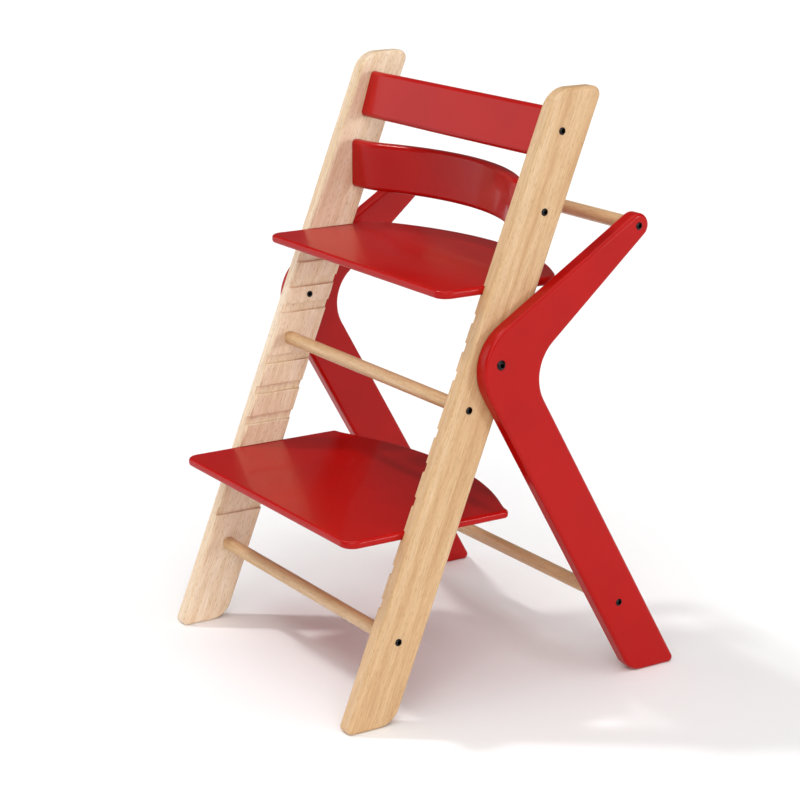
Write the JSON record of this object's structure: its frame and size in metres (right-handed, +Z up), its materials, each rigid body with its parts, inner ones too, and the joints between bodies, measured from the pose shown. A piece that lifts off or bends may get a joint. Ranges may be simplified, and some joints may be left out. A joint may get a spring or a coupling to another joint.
{
  "type": "baby high chair",
  "caption": "Grow-along wooden high chair with leaning grooved side rails, boomerang rear legs, sliding seat and footrest plates, and a slatted backrest.",
  "frame": {"origin": "on the floor, in the middle of the chair's width and depth", "axes": "+Z up, the sitter faces -Y, +X to the sitter's left"},
  "size_m": [0.566, 0.5392, 0.85],
  "materials": {
    "beech": "clear satin lacquer on planed solid beech",
    "red_lacquer": "semi-gloss red lacquer on beech plywood",
    "black_steel": "gloss black zinc-plated steel",
    "zinc_steel": "bright zinc-plated steel"
  },
  "bodies": {
    "frame": {"rail_left": "beech", "rail_right": "beech", "middle_front_rung": "beech", "lower_front_rung": "beech", "upper_rear_rung": "beech", "lower_rear_rung": "beech", "leg_locating_dowels": "beech", "slat_locating_dowels": "beech", "rear_leg_left": "red_lacquer", "rear_leg_right": "red_lacquer", "upper_backrest_slat": "red_lacquer", "lower_backrest_slat": "red_lacquer", "upper_slat_bolts": "black_steel", "lower_slat_bolts": "black_steel", "middle_front_rung_bolts": "black_steel", "lower_front_rung_bolts": "black_steel", "upper_rear_rung_bolts": "black_steel", "lower_rear_rung_bolts": "black_steel", "leg_bolts": "black_steel", "leg_sleeve_nuts": "black_steel", "upper_slat_barrel_nuts": "zinc_steel", "lower_slat_barrel_nuts": "zinc_steel", "middle_front_rung_inserts": "zinc_steel", "lower_front_rung_inserts": "zinc_steel", "upper_rear_rung_inserts": "zinc_steel", "lower_rear_rung_inserts": "zinc_steel"},
    "seat": {"seat_plate": "red_lacquer"},
    "footrest": {"footrest_plate": "red_lacquer"}
  },
  "joints": [
    {"name": "seat_slide", "type": "slide", "parent": "frame", "child": "seat", "axis": [0, 1, 0], "range_m": [-0.025, 0.06]},
    {"name": "footrest_slide", "type": "slide", "parent": "frame", "child": "footrest", "axis": [0, 1, 0], "range_m": [-0.06, 0.06]}
  ]
}
